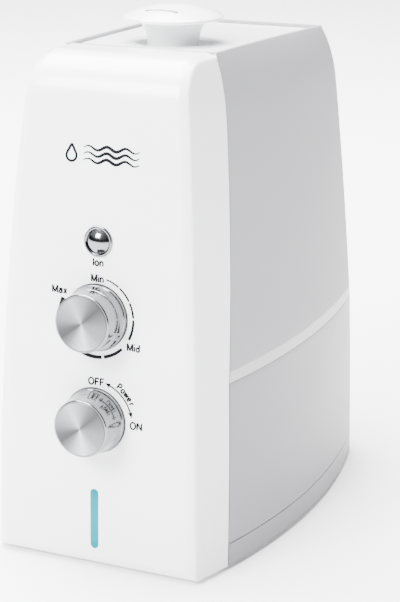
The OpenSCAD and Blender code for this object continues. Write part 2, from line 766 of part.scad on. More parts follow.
module nozzle_insert() place() color("white") translate([0, nozzle_y, well_u + 0.05]) difference() {
    union() {
        translate([0, 0, -14]) cylinder(r = insert_r, h = 14 + flange_t + 12);
        cylinder(r = stem_r + 1.5, h = flange_t);
    }
    translate([0, 0, -15]) cylinder(r = insert_r - 1.5, h = 60);
}

module nozzle_stem() place() color("white") translate([0, nozzle_y, 0]) rotate_extrude()
    polygon(concat(
        [[insert_r + 0.1, stem_base], [stem_r, stem_base], [stem_r, flare_u]],
        [for (a = [15 : 15 : 75]) [stem_r + 6 * (1 - cos(a)), flare_u + 7 * sin(a)]],
        [[head_r - 2, rim_u - rim_t - 0.4], [head_r - 0.3, rim_u - rim_t]],
        [[stem_r + 4, rim_u - rim_t]],
        [for (a = [75 : -15 : 0]) [insert_r + 0.1 + 6 * (1 - cos(a)), flare_u + 7 * sin(a) - 1]]
    ));

sphere_r = (head_r ^ 2 + dome_h ^ 2) / (2 * dome_h);
slot_front = head_r * 0.56;
module nozzle_cap() place() color("white") translate([0, nozzle_y, rim_u]) difference() {
    union() {
        translate([0, 0, -rim_t]) cylinder(r = head_r, h = rim_t);
        intersection() {
            translate([0, 0, dome_h - sphere_r]) sphere(r = sphere_r, $fn = 96);
            cylinder(r = head_r, h = dome_h + 1);
        }
    }
    translate([0, 0, -rim_t - 1]) cylinder(r = head_r - 3, h = rim_t + 1.6);
    intersection() {
        translate([0, 0, dome_h - sphere_r - 1.5]) sphere(r = sphere_r, $fn = 96);
        translate([0, 0, -1]) cylinder(r = head_r - 3, h = dome_h + 3);
    }
    translate([0, -slot_front, 0]) rotate(90) linear_extrude(height = 30) stadium(2.4, slot_len);
}

// ---- Nodes -------------------------------------------------------------------------------

front_cover();
front_liner();
base_housing();
bottom_tray();
feet();
tray_screws();
basin();
light_lens();
light_board();
ion_bezel();
ion_switch();
ion_button();
ion_spring();
control_board();
level_pot();
level_shaft();
level_knob();
level_face();
power_switch();
power_shaft();
power_knob();
power_face();
ioniser();
power_board();
transformer();
heat_sink();
power_inlet();
fan_housing();
fan_impeller();
air_duct();
mist_disc();
disc_seal();
disc_ring();
float_clip();
float();
tank_shell();
tank_floor();
tank_lid();
mist_duct();
tank_cap();
cap_seal();
valve_cage();
valve_plunger();
valve_seal();
valve_spring();
nozzle_insert();
nozzle_stem();
nozzle_cap();
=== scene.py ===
import json
import math

import bmesh
import bpy
from mathutils import Matrix, Vector


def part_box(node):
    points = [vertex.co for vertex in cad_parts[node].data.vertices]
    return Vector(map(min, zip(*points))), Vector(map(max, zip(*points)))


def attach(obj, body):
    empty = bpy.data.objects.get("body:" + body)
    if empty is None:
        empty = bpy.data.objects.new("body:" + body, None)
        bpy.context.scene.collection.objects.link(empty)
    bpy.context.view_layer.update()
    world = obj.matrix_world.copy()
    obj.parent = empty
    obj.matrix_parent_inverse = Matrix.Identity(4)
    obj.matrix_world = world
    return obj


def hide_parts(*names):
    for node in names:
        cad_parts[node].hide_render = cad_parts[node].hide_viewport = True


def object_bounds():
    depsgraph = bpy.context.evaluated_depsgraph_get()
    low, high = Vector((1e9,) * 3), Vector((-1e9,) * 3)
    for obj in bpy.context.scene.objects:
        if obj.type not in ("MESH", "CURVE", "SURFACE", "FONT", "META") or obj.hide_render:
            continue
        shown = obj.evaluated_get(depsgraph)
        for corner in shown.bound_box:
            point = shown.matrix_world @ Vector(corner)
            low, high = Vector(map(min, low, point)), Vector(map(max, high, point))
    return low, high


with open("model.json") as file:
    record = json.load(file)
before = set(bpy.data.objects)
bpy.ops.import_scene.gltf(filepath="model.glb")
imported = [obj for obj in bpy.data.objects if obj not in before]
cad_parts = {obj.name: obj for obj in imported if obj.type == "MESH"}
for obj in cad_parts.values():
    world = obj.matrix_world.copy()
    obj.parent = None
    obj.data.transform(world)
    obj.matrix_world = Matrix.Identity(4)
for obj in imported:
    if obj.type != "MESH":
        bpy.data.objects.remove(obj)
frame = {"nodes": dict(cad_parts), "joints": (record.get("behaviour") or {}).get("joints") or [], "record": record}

CAD_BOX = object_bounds()
MM = 0.001

# ---- Body shape ---------------------------------------------------------------------------
# Body coordinates, in millimetres: y = 0 at the front's bottom edge, u = height above it.

cover_low, cover_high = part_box("front_cover")
FRONT_Y = cover_low.y / MM
FOOT_H = cover_low.z / MM
BODY_H = (cover_high.z - cover_low.z) / MM
BODY_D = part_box("base_housing")[1].y / MM - FRONT_Y
BASE_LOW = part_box("base_housing")[0].z / MM - FOOT_H
SEAM_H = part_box("base_housing")[1].z / MM - FOOT_H
SHELL_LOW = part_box("tank_shell")[0].z / MM - FOOT_H
NOZZLE_Y = sum(v.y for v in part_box("nozzle_cap")) / 2 / MM - FRONT_Y

FRONT_HALF_W = 68
SIDE_R = 415
BULGE_Y = 0.58 * BODY_D
REAR_FLARE = 13.5
CROWN_IN = 11.5
CROWN_DROP = 45
CORNER_R = 26
REAR_R = 19
FRONT_R = 28
WALL = 2.5
SEAM = 0.6
FIT = 0.3
LID_RECESS = 2


def front_y(u):
    return 0.0268 * u + 0.0002 * u * u


def tilt(u):
    return math.atan(0.0268 + 0.0004 * u)


def front_w(u):
    return FRONT_HALF_W - 0.0319 * u - 0.0001 * u * u


def bulge(y):
    return math.sqrt(SIDE_R**2 - (y - BULGE_Y) ** 2) - math.sqrt(SIDE_R**2 - BULGE_Y**2)


def spread(u):
    if u <= SEAM_H:
        return 1 - 0.18 * max(u, 0) / SEAM_H
    return 0.82 - 0.63 * min(1, (u - SEAM_H) / (BODY_H - SEAM_H))


def half_w(y, u):
    """Half-width of the body before its rear corners are rounded."""
    flare = REAR_FLARE * (1 - (1 - max(0, min(1, u / BODY_H))) ** 1.35)
    rise = max(0, u - BODY_H + CROWN_DROP) / CROWN_DROP
    crown = CROWN_IN * (1 - (1 - y / BODY_D) ** 2) * rise**2.5
    return front_w(u) + spread(u) * bulge(min(y, BODY_D)) + flare * y / BODY_D - crown


def joint_y(u):
    if u < SEAM_H:
        return 30 + 9.5 * u / SEAM_H
    return 39.5 + 34 * (u - SEAM_H) / (BODY_H - 1 - SEAM_H)


ROUND_TILT = tilt(BODY_H - FRONT_R)
ROUND_U = BODY_H - FRONT_R * (1 - math.sin(ROUND_TILT))
ROUND_Y = front_y(ROUND_U) + FRONT_R * math.cos(ROUND_TILT)


def top_u(y):
    return BODY_H - 0.0226 * (y - ROUND_Y) - 0.00007 * (y - ROUND_Y) ** 2


def place(x, y, u):
    return Vector((x, y + FRONT_Y, u + FOOT_H)) * MM


def on_front(u):
    """Matrix of the panel at height u: z points out of the panel and y runs up it."""
    t = tilt(u)
    out = Vector((0, -math.cos(t), math.sin(t)))
    up = Vector((0, math.sin(t), math.cos(t)))
    m = Matrix((Vector((1, 0, 0)), up, out)).transposed().to_4x4()
    m.translation = place(0, front_y(u), u)
    return m @ Matrix.Scale(MM, 4)


def upright(y):
    """Matrix of a vertical axis at depth y, with z as the height u."""
    return Matrix.Translation(place(0, y, 0)) @ Matrix.Scale(MM, 4)


# ---- Mesh helpers -------------------------------------------------------------------------


def make(name, verts, faces, matrix=None, merge=1e-4):
    """A mesh object from millimetre points, moved into the frame by matrix."""
    mesh = bpy.data.meshes.new(name)
    mesh.from_pydata([tuple(v) for v in verts], [], faces)
    bm = bmesh.new()
    bm.from_mesh(mesh)
    bmesh.ops.remove_doubles(bm, verts=bm.verts, dist=merge)
    bmesh.ops.recalc_face_normals(bm, faces=bm.faces)
    if matrix is not None:
        bm.transform(matrix)
    bm.to_mesh(mesh)
    bm.free()
    obj = bpy.data.objects.new(name, mesh)
    bpy.context.scene.collection.objects.link(obj)
    return obj


def smooth(obj, degrees=40):
    """Smooth shading, with creases sharper than degrees kept."""
    obj.data.shade_smooth()
    obj.data.set_sharp_from_angle(angle=math.radians(degrees))
    return obj


def applied(obj):
    """Turns the object's modifiers into mesh."""
    bpy.context.view_layer.update()
    graph = bpy.context.evaluated_depsgraph_get()
    mesh = bpy.data.meshes.new_from_object(obj.evaluated_get(graph))
    obj.modifiers.clear()
    obj.data = mesh
    return obj


def cut(obj, *tools):
    """Cuts the tool objects out of obj, and removes them."""
    for tool in tools:
        mod = obj.modifiers.new("cut", "BOOLEAN")
        mod.object = tool
        mod.operation = "DIFFERENCE"
        mod.solver = "EXACT"
    applied(obj)
    for tool in tools:
        bpy.data.objects.remove(tool)
    return obj


def finish_piece(obj, body, slot, material, *nodes):
    """Gives a piece its body and its material, and hides the CAD nodes that it stands for."""
    obj.data.materials.clear()
    obj.data.materials.append(material)
    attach(obj, body)
    if nodes:
        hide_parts(*nodes)
    return obj


def grid(rows, closed=False):
    """Vertices and quads through rows of points of equal length."""
    n = len(rows[0])
    verts = [p for row in rows for p in row]
    faces = []
    for i in range(len(rows) - 1):
        for j in range(n if closed else n - 1):
            k = (j + 1) % n
            faces.append((i * n + j, i * n + k, (i + 1) * n + k, (i + 1) * n + j))
    return verts, faces


def lathe(name, profile, matrix, steps=128, closed=False):
    """Turns a profile of (radius, height) points about z."""
    rows = []
    for r, h in profile + ([profile[0]] if closed else []):
        rows.append([
            (r * math.cos(2 * math.pi * k / steps), r * math.sin(2 * math.pi * k / steps), h)
            for k in range(steps)
        ])
    verts, faces = grid(rows, closed=True)
    return make(name, verts, faces, matrix)


def arc(cx, cy, r, start, end, steps):
    """Points on an arc, with angles in degrees."""
    out = []
    for k in range(steps + 1):
        a = math.radians(start + (end - start) * k / steps)
        out.append((cx + r * math.cos(a), cy + r * math.sin(a)))
    return out


def prism(name, outline, low, high, matrix):
    """Closed solid between two heights over a flat outline."""
    n = len(outline)
    verts = [(x, y, low) for x, y in outline] + [(x, y, high) for x, y in outline]
    faces = [tuple(range(n))[::-1], tuple(range(n, 2 * n))]
    faces += [(k, (k + 1) % n, (k + 1) % n + n, k + n) for k in range(n)]
    return make(name, verts, faces, matrix)


def stadium(width, length, steps=16):
    """Outline with straight sides and round ends, longest along y."""
    r = width / 2
    c = length / 2 - r
    return arc(0, c, r, 0, 180, steps) + arc(0, -c, r, 180, 360, steps)


def lerp(a, b, t):
    """Value a part t of the way from a to b."""
    return a + (b - a) * t


# ---- Materials ----------------------------------------------------------------------------


def new_material(name):
    material = bpy.data.materials.new(name)
    material.use_nodes = True
    tree = material.node_tree
    return material, tree, tree.nodes["Principled BSDF"]


def link(tree, a, b):
    tree.links.new(a, b)


def noise(tree, scale, detail=3.0, coord="Object"):
    where = tree.nodes.new("ShaderNodeTexCoord")
    node = tree.nodes.new("ShaderNodeTexNoise")
    node.inputs["Scale"].default_value = scale
    node.inputs["Detail"].default_value = detail
    link(tree, where.outputs[coord], node.inputs["Vector"])
    return node


def ramp(tree, value, *stops):
    node = tree.nodes.new("ShaderNodeValToRGB")
    while len(node.color_ramp.elements) < len(stops):
        node.color_ramp.elements.new(0.5)
    for element, (at, colour) in zip(node.color_ramp.elements, stops):
        element.position = at
        element.color = (*colour, 1)
    link(tree, value, node.inputs["Fac"])
    return node


def shade(colour, k):
    return tuple(c * k for c in colour)


def bump(tree, bsdf, height, strength, distance):
    node = tree.nodes.new("ShaderNodeBump")
    node.inputs["Strength"].default_value = strength
    node.inputs["Distance"].default_value = distance
    link(tree, height, node.inputs["Height"])
    link(tree, node.outputs["Normal"], bsdf.inputs["Normal"])


def plastic(name, colour, rough, vary=0.02, grain=0.0, coat=0.0, scale=900):
    """Moulded plastic: faint mottling, roughness that varies, and a fine grain."""
    material, tree, bsdf = new_material(name)
    cloud = noise(tree, 14, 4)
    tint = ramp(tree, cloud.outputs["Fac"], (0.3, shade(colour, 1 - vary)), (0.7, colour))
    link(tree, tint.outputs["Color"], bsdf.inputs["Base Color"])
    wear = ramp(tree, cloud.outputs["Fac"], (0.25, (rough * 0.85,) * 3), (0.75, (rough * 1.15,) * 3))
    link(tree, wear.outputs["Color"], bsdf.inputs["Roughness"])
    if grain:
        fine = noise(tree, scale, 2)
        bump(tree, bsdf, fine.outputs["Fac"], grain, 0.0002)
    bsdf.inputs["Coat Weight"].default_value = coat
    bsdf.inputs["Coat Roughness"].default_value = 0.08
    return material


def metal(name, colour, rough, grain=0.05, scale=1500):
    """Bare or plated metal with faint clouding and a very fine grain."""
    material, tree, bsdf = new_material(name)
    cloud = noise(tree, 60, 4)
    tint = ramp(tree, cloud.outputs["Fac"], (0.3, shade(colour, 0.94)), (0.7, colour))
    link(tree, tint.outputs["Color"], bsdf.inputs["Base Color"])
    wear = ramp(tree, cloud.outputs["Fac"], (0.3, (rough * 0.8,) * 3), (0.7, (rough * 1.25,) * 3))
    link(tree, wear.outputs["Color"], bsdf.inputs["Roughness"])
    fine = noise(tree, scale, 2)
    bump(tree, bsdf, fine.outputs["Fac"], grain, 0.00005)
    bsdf.inputs["Metallic"].default_value = 1
    return material


def spun_metal(name, colour, rough, turned=0):
    """Turned metal: fine rings, and bright and dark wedges of painted reflection round the middle of the colour.
    """
    material, tree, bsdf = new_material(name)
    where = tree.nodes.new("ShaderNodeTexCoord")
    turn = tree.nodes.new("ShaderNodeMapping")
    turn.inputs["Rotation"].default_value[2] = math.radians(turned)
    link(tree, where.outputs["Object"], turn.inputs["Vector"])
    painted_wedge_mask = tree.nodes.new("ShaderNodeTexGradient")
    painted_wedge_mask.gradient_type = "RADIAL"
    link(tree, turn.outputs["Vector"], painted_wedge_mask.inputs["Vector"])
    # Painted reflection: the colour is raised and lowered in wedges round the middle, standing in for light caught
    # by the turned rings.
    painted_reflection_wedges = [
        (0.0, 0.75), (0.05, 0.4), (0.1, 0.28), (0.16, 0.7), (0.22, 1.5), (0.28, 2.3),
        (0.34, 1.5), (0.4, 0.95), (0.48, 0.8), (0.56, 0.55), (0.62, 0.3), (0.68, 0.5),
        (0.76, 1.1), (0.83, 1.9), (0.9, 1.3), (1.0, 0.75),
    ]
    tint = ramp(tree, painted_wedge_mask.outputs["Fac"], *[(at, shade(colour, k)) for at, k in painted_reflection_wedges])
    rings = tree.nodes.new("ShaderNodeTexWave")
    rings.wave_type = "RINGS"
    rings.rings_direction = "Z"
    rings.inputs["Scale"].default_value = 1200
    rings.inputs["Distortion"].default_value = 0.6
    rings.inputs["Detail"].default_value = 2
    link(tree, where.outputs["Object"], rings.inputs["Vector"])
    link(tree, tint.outputs["Color"], bsdf.inputs["Base Color"])
    wear = ramp(tree, rings.outputs["Fac"], (0.2, (rough * 0.85,) * 3), (0.8, (rough * 1.15,) * 3))
    link(tree, wear.outputs["Color"], bsdf.inputs["Roughness"])
    bump(tree, bsdf, rings.outputs["Fac"], 0.06, 0.00003)
    along = tree.nodes.new("ShaderNodeTangent")
    along.direction_type = "RADIAL"
    along.axis = "Z"
    link(tree, along.outputs["Tangent"], bsdf.inputs["Tangent"])
    bsdf.inputs["Metallic"].default_value = 1
    bsdf.inputs["Anisotropic"].default_value = 0.7
    return material


def frosted(name, colour, rough, clear):
    """Frosted translucent plastic with a fine etched grain."""
    material, tree, bsdf = new_material(name)
    cloud = noise(tree, 22, 4)
    tint = ramp(tree, cloud.outputs["Fac"], (0.3, shade(colour, 0.97)), (0.7, colour))
    link(tree, tint.outputs["Color"], bsdf.inputs["Base Color"])
    fine = noise(tree, 1400, 3)
    wear = ramp(tree, fine.outputs["Fac"], (0.3, (rough * 0.88,) * 3), (0.7, (rough * 1.12,) * 3))
    link(tree, wear.outputs["Color"], bsdf.inputs["Roughness"])
    bump(tree, bsdf, fine.outputs["Fac"], 0.12, 0.0001)
    bsdf.inputs["IOR"].default_value = 1.45
    bsdf.inputs["Transmission Weight"].default_value = clear
    return material


def glow(name, colour, strength, height_range):
    """Lit lens: brightest at its middle, with a soft fall towards both ends."""
    material, tree, bsdf = new_material(name)
    where = tree.nodes.new("ShaderNodeTexCoord")
    split = tree.nodes.new("ShaderNodeSeparateXYZ")
    link(tree, where.outputs["Object"], split.inputs["Vector"])
    spot = tree.nodes.new("ShaderNodeMapRange")
    spot.inputs["From Min"].default_value = height_range[0]
    spot.inputs["From Max"].default_value = height_range[1]
    link(tree, split.outputs["Z"], spot.inputs["Value"])
    lit = ramp(
        tree, spot.outputs["Result"],
        (0.0, shade(colour, 0.7)), (0.18, colour), (0.5, tuple(min(1, c * 1.15) for c in colour)),
        (0.82, colour), (1.0, shade(colour, 0.7)),
    )
    bsdf.inputs["Base Color"].default_value = (*shade(colour, 0.04), 1)
    link(tree, lit.outputs["Color"], bsdf.inputs["Emission Color"])
    bsdf.inputs["Emission Strength"].default_value = strength
    bsdf.inputs["Roughness"].default_value = 0.25
    bsdf.inputs["Specular IOR Level"].default_value = 0
    return material


WHITE = (0.86, 0.865, 0.88)
lens_low, lens_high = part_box("light_lens")
MATERIALS = {
    "white_gloss": plastic("white_gloss", WHITE, 0.24, vary=0.012, grain=0.02, coat=0.25, scale=420),
    "white_plastic": plastic("white_plastic", (0.76, 0.765, 0.78), 0.42, grain=0.08),
    # Painted shade: this colour is set far darker than the base's pale greyish-white plastic, for the side of it
    # that stands in shadow.
    "grey_plastic": plastic("grey_plastic", (0.19, 0.182, 0.2), 0.36, grain=0.06),
    "frosted_tank": frosted("frosted_tank", (0.40, 0.40, 0.42), 0.5, 0.35),
    "chrome": metal("chrome", (0.19, 0.195, 0.205), 0.12, grain=0.01),
    # Turned metal, with wedges of painted reflection in its colour.
    "spun_metal": spun_metal("spun_metal", (0.115, 0.117, 0.122), 0.3),
    "steel": metal("steel", (0.55, 0.55, 0.56), 0.3),
    "rubber": plastic("rubber", (0.035, 0.035, 0.038), 0.75, vary=0.25, grain=0.3),
    "black_plastic": plastic("black_plastic", (0.03, 0.03, 0.033), 0.45, vary=0.2, grain=0.2),
    "circuit_board": plastic("circuit_board", (0.02, 0.16, 0.07), 0.35, vary=0.35, grain=0.1),
    "copper": metal("copper", (0.70, 0.36, 0.17), 0.3, grain=0.2),
    "cyan_light": glow("cyan_light", (0.0, 0.75, 0.95), 1.15, (lens_low.z, lens_high.z)),
    "silicone": plastic("silicone", (0.55, 0.55, 0.53), 0.6, vary=0.06, grain=0.15),
}
INK = plastic("legend_ink", (0.005, 0.0052, 0.0065), 0.7, vary=0.15, grain=0.1)
INK.node_tree.nodes["Principled BSDF"].inputs["Specular IOR Level"].default_value = 0.05

SLOT_OF = {entry["node"]: entry["material_slot"] for entry in frame["record"]["subparts"]}
for node, obj in frame["nodes"].items():
    obj.data.materials.clear()
    obj.data.materials.append(MATERIALS[SLOT_OF[node]])
rim_plastic = plastic("rim_plastic", (0.42, 0.42, 0.44), 0.36, grain=0.06)
frame["nodes"]["tank_floor"].data.materials[0] = rim_plastic

# ---- Front cover --------------------------------------------------------------------------

# Section of the soft edge frame: distance in from the side, and depth below the face.
EDGE = [
    (0, 3.4), (0.06, 2.85), (0.24, 2.4), (0.55, 2.0), (0.95, 1.7), (1.6, 1.42), (2.6, 0.98),
    (3.6, 0.55), (4.6, 0.22), (5.5, 0.05), (6.3, 0),
]
# Small fillet where a shell ends at a seam: distance from the end, and depth.
LIP = [(0, 0.45), (0.13, 0.2), (0.45, 0)]


def cover_stations(inset):
    """Points of the front's outline, set in by inset, with their normals and bottom edge depth."""
    stations = []
    heights = [inset + a for a, _ in EDGE] + [8 + (ROUND_U - 8) * k / 60 for k in range(61)]
    depths = [d for _, d in EDGE] + [0] * 61
    for u, d in zip(heights, depths):
        t = tilt(u)
        stations.append(((front_y(u), u), (-math.cos(t), math.sin(t)), d))
    turn = math.degrees(ROUND_TILT)
    for (y, u) in arc(ROUND_Y, BODY_H - FRONT_R, FRONT_R, 180 - turn, 90, 24)[1:]:
        stations.append(((y, u), ((y - ROUND_Y) / FRONT_R, (u - BODY_H + FRONT_R) / FRONT_R), 0))
    top_end = joint_y(BODY_H - 1)
    for k in range(1, 9):
        y = lerp(ROUND_Y, top_end, k / 8)
        stations.append(((y, top_u(y)), (0, 1), 0))
    return [((y - ny * inset, u - nu * inset), (ny, nu), d) for (y, u), (ny, nu), d in stations]


def cover_sheet(inset):
    """Rows of points over the front and its two sides, inset from the outer face."""
    stations = cover_stations(inset)
    length = [0]
    for (a, _, _), (b, _, _) in zip(stations, stations[1:]):
        length.append(length[-1] + math.dist(a, b))
    turn_off = next(i for i, s in enumerate(stations) if s[0][1] > 180)
    top_end = stations[-1][0][1]
    rows = []
    for i, ((py, pu), (ny, nu), sunk) in enumerate(stations):
        qu = pu
        if i >= turn_off:
            f = (length[i] - length[turn_off]) / (length[-1] - length[turn_off])
            qu = lerp(stations[turn_off][0][1], top_end, f)
        q = (joint_y(qu), qu)
        half = []
        depth = max(EDGE[0][1], sunk)
        edge_p = (py - ny * depth, pu - nu * depth)
        reach = math.dist(q, edge_p)
        fractions = [(min(0.5, s / max(reach, 1)), d) for s, d in LIP]
        fractions += [(lerp(fractions[-1][0], 1, k / 6), 0) for k in range(1, 6)]
        for f, d in fractions:
            y, u = lerp(q[0], edge_p[0], f), lerp(q[1], edge_p[1], f)
            half.append((half_w(y, u) - inset - d, y, u))
        for a, d in EDGE:
            d = max(d, sunk)
            y, u = py - ny * d, pu - nu * d
            half.append((half_w(y, u) - inset - a, y, u))
        inner = half[-1]
        half += [(inner[0] * (1 - k / 8), inner[1], inner[2]) for k in range(1, 9)]
        rows.append([place(*p) / MM for p in half] + [place(-x, y, u) / MM for x, y, u in half[-2::-1]])
    return rows


def front_cover():
    """The front as one shell of even thickness, with holes for the controls and the light."""
    outer, inner = cover_sheet(0), cover_sheet(WALL)
    across, down = len(outer[0]), len(outer)
    verts, faces = grid(outer)
    inner_verts, inner_faces = grid(inner)
    far = len(verts)
    verts += inner_verts
    faces += [tuple(i + far for i in face[::-1]) for face in inner_faces]
    rim = [k * across for k in range(down)] + [(down - 1) * across + k for k in range(1, across)]
    rim += [k * across + across - 1 for k in range(down - 2, -1, -1)]
    for a, b in zip(rim, rim[1:] + rim[:1]):
        faces.append((a, b, b + far, a + far))
    faces += [tuple(range(across))[::-1], tuple(range(far, far + across))]
    cover = make("front_cover_shell", verts, faces, Matrix.Scale(MM, 4))
    slot = prism("slot", stadium(5.6, 40), -9, 9, on_front(LIGHT_U))
    holes = [lathe("hole", [(0, -9), (r, -9), (r, 9), (0, 9)], on_front(u)) for r, u in PANEL_HOLES]
    cut(cover, slot, *holes)
    return finish_piece(smooth(cover, 32), "root", "white_gloss", MATERIALS["white_gloss"], "front_cover")


def front_height(node):
    """Height u of the middle of a CAD node's box."""
    low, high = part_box(node)
    return (low.z + high.z) / 2 / MM - FOOT_H


def joint_height(name):
    """Height u on the panel of a joint's axis."""
    joint = next(j for j in frame["joints"] if j["name"] == name)
    return joint["pos_m"][2] / MM - FOOT_H


POWER_U = joint_height("power_turn")
LEVEL_U = joint_height("level_turn")
ION_U = front_height("ion_bezel")
LIGHT_U = front_height("light_lens")
PANEL_HOLES = [(4.6, POWER_U), (4.6, LEVEL_U), (8.6, ION_U)]

# ---- Side shells --------------------------------------------------------------------------


def plan_block(name, inset, low, high, front, levels=40):
    """Closed block inside the side walls, set in by inset, from height low to high."""
    sides = 40
    rows = []
    for k in range(levels + 1):
        u = lerp(low, high, k / levels)
        ring = []
        for j in range(sides + 1):
            y = lerp(front, BODY_D - CORNER_R, j / sides)
            ring.append((half_w(y, u) - inset, y, u))
        r = CORNER_R - inset
        corner_x = half_w(BODY_D, u) - CORNER_R
        y0 = BODY_D - CORNER_R
        for a in range(6, 91, 6):
            x, y = r * math.cos(math.radians(a)), r * math.sin(math.radians(a))
            drift = half_w(y0 + y, u) - CORNER_R
            ring.append((lerp(drift, corner_x, a / 90) + x, y0 + y, u))
        ring += [(corner_x * (1 - j / 6), BODY_D - inset, u) for j in range(1, 7)]
        rows.append(ring + [(-x, y, h) for x, y, h in ring[-2::-1]])
    n = len(rows[0])
    verts, faces = grid([[place(*p) / MM for p in row] for row in rows], closed=True)
    faces += [tuple(range(n)), tuple(range(len(verts) - n, len(verts)))]
    return make(name, verts, faces, Matrix.Scale(MM, 4))


def side_prism(name, outline, reach=140):
    """Prism across the body over an outline in y and u."""
    turn = Matrix(((0, 0, 1, 0), (1, 0, 0, 0), (0, 1, 0, 0), (0, 0, 0, 1)))
    where = Matrix.Translation(place(0, 0, 0)) @ Matrix.Scale(MM, 4) @ turn
    return prism(name, outline, -reach, reach, where)


def meet(obj, tool):
    """Keeps what obj and the tool share, and removes the tool."""
    mod = obj.modifiers.new("meet", "BOOLEAN")
    mod.object = tool
    mod.operation = "INTERSECT"
    mod.solver = "EXACT"
    applied(obj)
    bpy.data.objects.remove(tool)
    return obj


def bevel(obj, width, degrees=35, segments=3):
    """Rounds the edges sharper than degrees, with width in millimetres."""
    mod = obj.modifiers.new("edge", "BEVEL")
    mod.width = width * MM
    mod.segments = segments
    mod.limit_method = "ANGLE"
    mod.angle_limit = math.radians(degrees)
    mod.harden_normals = False
    return applied(obj)


def joint_line(low, high, gap, steps=12):
    """The seam behind the front cover, seen from the side, moved back by gap."""
    return [(joint_y(u) + gap, u) for u in (lerp(low, high, k / steps) for k in range(steps + 1))]


def tank_outline(low, inset, gap):
    """Side view of the tank: joint line, falling top and rounded rear."""
    rear_u = top_u(BODY_D - REAR_R) - REAR_R
    r = REAR_R - inset
    rear = arc(BODY_D - REAR_R, rear_u, r, 0, 90, 18)
    y0 = joint_y(BODY_H - 1) + gap
    top = [(y, top_u(y) - inset) for y in (lerp(BODY_D - REAR_R, y0, k / 20) for k in range(1, 21))]
    return [(BODY_D - inset, low)] + rear + top + joint_line(low, BODY_H - 8, gap)[::-1]


def side_shells():
    """The base with its vents and inlet opening, and the tank's wall with its open top."""
    base = plan_block("base_shell", 0, BASE_LOW, SEAM_H, 20, 24)
    meet(base, side_prism("base_cut", joint_line(BASE_LOW - 5, SEAM_H + 5, SEAM)
                          + [(BODY_D + 5, SEAM_H + 5), (BODY_D + 5, BASE_LOW - 5)]))
    hollow = plan_block("base_hollow", WALL, BASE_LOW - 3, SEAM_H + 3, 10, 24)
    vents = [
        rear_cutter("vent", [(x, 34), (x + 3, 34), (x + 3, 74), (x, 74)]) for x in (20, 27, 34, 41, 48)
    ]
    inlet = rear_cutter("inlet", [(-51, 33.5), (-29, 33.5), (-29, 46.5), (-51, 46.5)])
    bevel(cut(base, hollow, inlet, *vents), 0.45)
    # The base's dark colour is painted shade for its shadowed side.
    finish_piece(smooth(base, 28), "root", "grey_plastic", MATERIALS["grey_plastic"], "base_housing")

    tank = plan_block("tank_wall", 0, SHELL_LOW, BODY_H + 6, 30)
    meet(tank, side_prism("tank_cut", tank_outline(SHELL_LOW - 5, 0, SEAM)))
    hollow = plan_block("tank_hollow", WALL, SHELL_LOW - 3, BODY_H + 6, 24)
    meet(hollow, side_prism("hollow_cut", tank_outline(SHELL_LOW - 6, WALL, SEAM + WALL)))
    mouth = prism("mouth", lid_outline(FIT), BODY_H - 60, BODY_H + 20, upright(0))
    bevel(cut(tank, hollow, mouth), 0.9)
    finish_piece(smooth(tank, 28), "tank", "frosted_tank", MATERIALS["frosted_tank"], "tank_shell")


def rear_cutter(name, outline):
    """Prism through the rear wall, over an outline in x and u."""
    turn = Matrix(((1, 0, 0, 0), (0, 0, 1, 0), (0, 1, 0, 0), (0, 0, 0, 1)))
    where = Matrix.Translation(place(0, 0, 0)) @ Matrix.Scale(MM, 4) @ turn
    return prism(name, outline, BODY_D - 12, BODY_D + 12, where)


# ---- Lid ----------------------------------------------------------------------------------

WELL_R = 24
DUCT_R = 13
LID_TOP = top_u(NOZZLE_Y) - LID_RECESS
WELL_U = LID_TOP - 20


def lid_outline(grow=0):
    """Edge of the lid, anticlockwise, with small corner radii."""
    y0 = joint_y(BODY_H) + SEAM + WALL + FIT - grow
    y1 = BODY_D - REAR_R - 3 - FIT + grow
    corner = 4
    right = []
    for k in range(31):
        y = lerp(y0 + corner, y1 - corner, k / 30)
        right.append((half_w(y, top_u(y)) - WALL - FIT + grow, y))
    x1, x0 = right[-1][0], right[0][0]
    right += arc(x1 - corner, y1 - corner, corner, 15, 90, 5)
    start = arc(x0 - corner, y0 + corner, corner, -90, -15, 5)
    half = start + right
    return half + [(-x, y) for x, y in half[::-1]]


def resample(outline, n):
    """n points evenly spaced along a closed outline."""
    total = [0]
    ring = outline + [outline[0]]
    for a, b in zip(ring, ring[1:]):
        total.append(total[-1] + math.dist(a, b))
    out, i = [], 0
    for k in range(n):
        s = total[-1] * k / n
        while total[i + 1] < s:
            i += 1
        f = (s - total[i]) / (total[i + 1] - total[i])
        out.append((lerp(ring[i][0], ring[i + 1][0], f), lerp(ring[i][1], ring[i + 1][1], f)))
    return out


